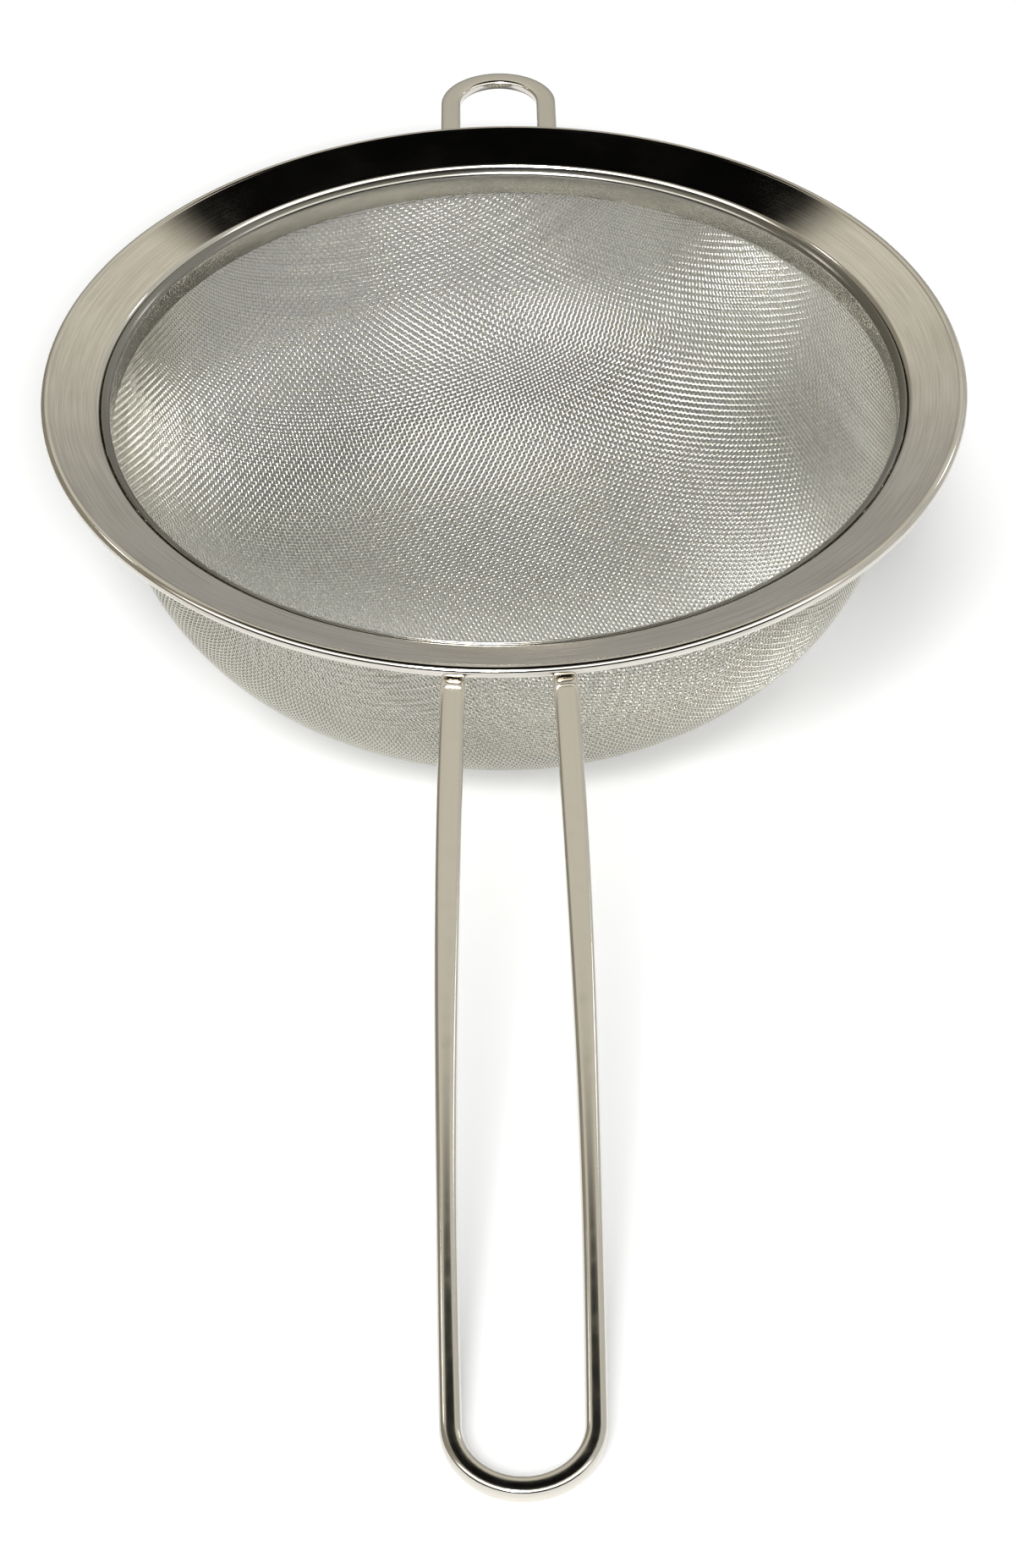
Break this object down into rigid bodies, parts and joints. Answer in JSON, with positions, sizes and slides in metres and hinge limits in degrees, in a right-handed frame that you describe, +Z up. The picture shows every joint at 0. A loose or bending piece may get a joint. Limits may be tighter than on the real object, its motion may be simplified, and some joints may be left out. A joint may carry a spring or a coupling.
{
  "type": "strainer",
  "caption": "Round fine-mesh hand strainer: woven wire bowl in a wide flared steel rim, long wire loop handle and a small rest hook opposite it.",
  "frame": {"origin": "centre of the footprint on the table, with the strainer put down so that the bowl and the end of the handle both touch it", "axes": "+Z up, +Y from the handle towards the rest hook, +X to the right seen from the handle"},
  "size_m": [0.2, 0.3956, 0.1092],
  "materials": {
    "polished_sheet": "polished stainless sheet, spun",
    "satin_band": "satin stainless band",
    "wire_cloth": "plain woven stainless wire",
    "polished_wire": "polished stainless wire, drawn",
    "weld": "bead of weld, lightly tinted by heat"
  },
  "bodies": {
    "root": {"rim_flange": "polished_sheet", "mesh_retaining_ring": "satin_band", "mesh_bowl": "wire_cloth", "handle_loop": "polished_wire", "rest_hook": "polished_wire", "handle_weld_left": "weld", "handle_weld_right": "weld", "hook_weld_left": "weld", "hook_weld_right": "weld"}
  },
  "joints": []
}
